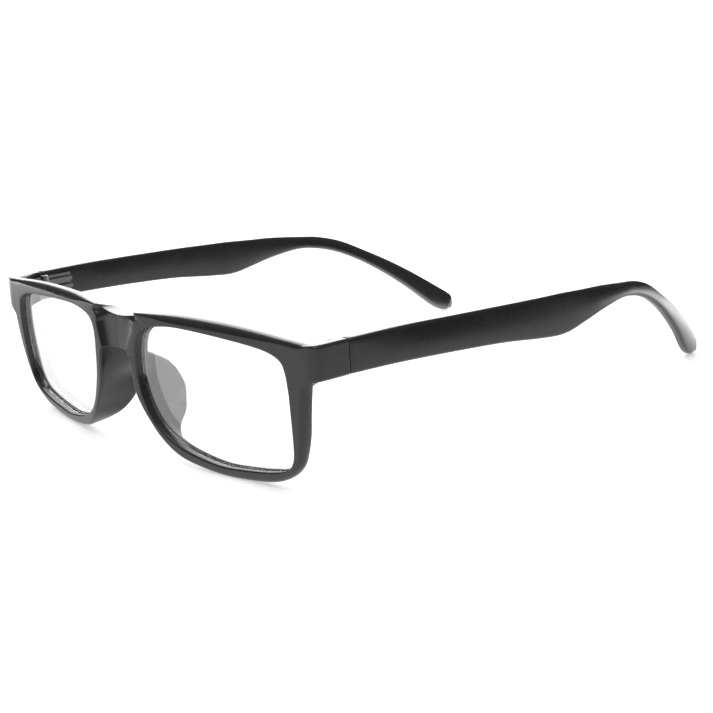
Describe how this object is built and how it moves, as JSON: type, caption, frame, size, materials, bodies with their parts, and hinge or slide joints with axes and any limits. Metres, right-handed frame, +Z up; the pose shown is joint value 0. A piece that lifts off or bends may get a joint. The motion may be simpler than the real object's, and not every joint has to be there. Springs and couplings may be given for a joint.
{
  "type": "eyeglasses frame",
  "caption": "Black plastic eyeglasses frame with a moulded front, clear lenses, fixed nose pads and folding temples on barrel hinges.",
  "frame": {"origin": "middle of the open frame on the surface it rests on, midway from the front's face to the ends of the temple tips", "axes": "+X towards the wearer's left, +Y from the front back along the temples, +Z up"},
  "size_m": [0.1412, 0.1588, 0.0366],
  "materials": {
    "frame_plastic": "satin black moulded plastic",
    "lens_clear": "clear, polished",
    "hinge_steel": "satin steel"
  },
  "bodies": {
    "front": {"front_frame": "frame_plastic", "lens_left": "lens_clear", "lens_right": "lens_clear", "front_hinge_left": "hinge_steel", "front_hinge_right": "hinge_steel", "hinge_screw_left": "hinge_steel", "hinge_screw_right": "hinge_steel"},
    "left_temple": {"temple_left": "frame_plastic", "temple_hinge_left": "hinge_steel"},
    "right_temple": {"temple_right": "frame_plastic", "temple_hinge_right": "hinge_steel"}
  },
  "joints": [
    {"name": "left_temple_fold", "type": "hinge", "parent": "front", "child": "left_temple", "pos_m": [0.06425, -0.06215, 0.0309], "axis": [0, 0, 1], "range_deg": [0, 87]},
    {"name": "right_temple_fold", "type": "hinge", "parent": "front", "child": "right_temple", "pos_m": [-0.06425, -0.06215, 0.0309], "axis": [0, 0, -1], "range_deg": [0, 81]}
  ]
}
